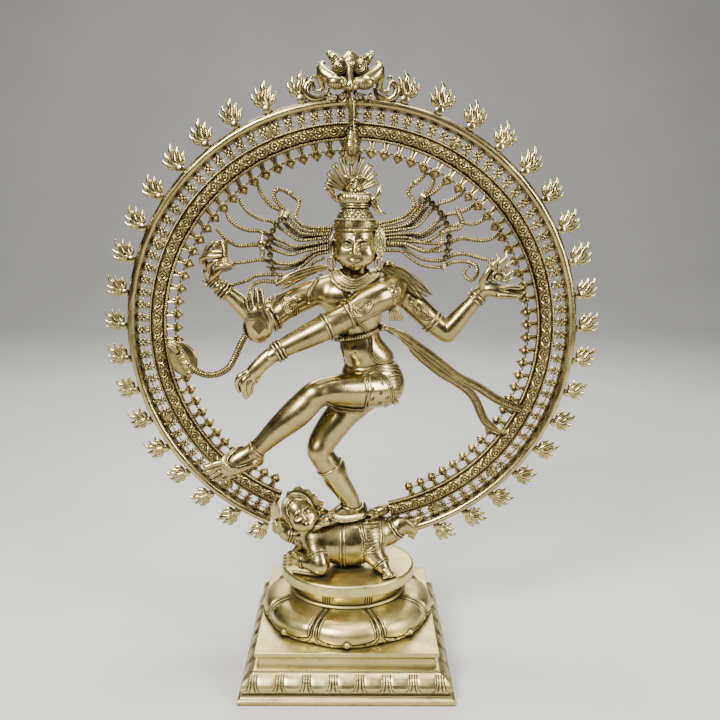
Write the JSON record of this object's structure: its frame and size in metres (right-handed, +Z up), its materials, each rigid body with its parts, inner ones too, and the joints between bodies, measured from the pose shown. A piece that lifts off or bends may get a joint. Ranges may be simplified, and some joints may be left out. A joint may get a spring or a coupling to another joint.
{
  "type": "brass nataraja statue",
  "caption": "Cast brass dancing figure with four arms on a crouched dwarf, ringed by an arch of flames on a lotus and square plinth; a free-standing display statue.",
  "frame": {"origin": "on the table, under the middle of the statue's outer box", "axes": "+Z up, +X to the viewer's right, -Y towards the viewer"},
  "size_m": [0.8127, 0.342, 1.0192],
  "materials": {
    "cast_plate": "brushed flat plate with a green-brown patina in the corners",
    "cast_pedestal": "cast and hand-smoothed, softly polished, dark lines chased into the petals",
    "polished_figure": "antique polished, smooth, brown patina left in the hollows",
    "chased_brass": "cast relief with dark patina in the crevices and rubbed bright edges",
    "bright_trim": "chased ornament, rubbed bright on the high points",
    "raw_brass": "unpolished, darkened rod and turned parts"
  },
  "bodies": {
    "root": {"plinth": "cast_plate", "lotus_dome": "cast_pedestal", "pedestal_neck": "cast_pedestal", "pedestal_disc": "cast_pedestal", "figure_stud": "raw_brass", "stud_washer": "raw_brass", "stud_nut": "raw_brass", "dwarf_body": "polished_figure", "dwarf_head": "polished_figure", "dwarf_front_arm": "polished_figure", "dwarf_knife_arm": "polished_figure", "dwarf_knife": "bright_trim", "dwarf_snake_head": "polished_figure", "dwarf_stick": "raw_brass", "dwarf_front_leg": "polished_figure", "dwarf_rear_leg": "polished_figure", "torso": "polished_figure", "loincloth": "polished_figure", "standing_leg": "polished_figure", "raised_leg": "polished_figure", "crossing_arm": "polished_figure", "blessing_arm": "polished_figure", "drum_arm": "polished_figure", "flame_arm": "polished_figure", "head": "polished_figure", "crown": "bright_trim", "crown_feathers": "bright_trim", "crown_crescent": "bright_trim", "crown_tassel": "bright_trim", "earrings": "bright_trim", "necklace": "bright_trim", "sacred_thread": "chased_brass", "belly_band": "bright_trim", "armlets": "bright_trim", "bangles": "bright_trim", "leg_ornaments": "bright_trim", "shoulder_scarves": "chased_brass", "flying_sash": "chased_brass", "hair_locks_left": "chased_brass", "hair_locks_right": "chased_brass", "hair_clasps": "chased_brass", "skull_pendant": "chased_brass", "cobra": "chased_brass", "drum": "bright_trim", "hand_flame": "bright_trim", "arch_rim": "chased_brass", "arch_band": "chased_brass", "arch_flowers": "chased_brass", "arch_joint_plaques": "chased_brass", "arch_pendants": "chased_brass", "arch_flames": "chased_brass", "arch_foot_left": "chased_brass", "arch_foot_right": "chased_brass", "arch_pins": "raw_brass", "arch_mask": "chased_brass", "mask_scrolls": "chased_brass", "mask_stem": "chased_brass"}
  },
  "joints": []
}
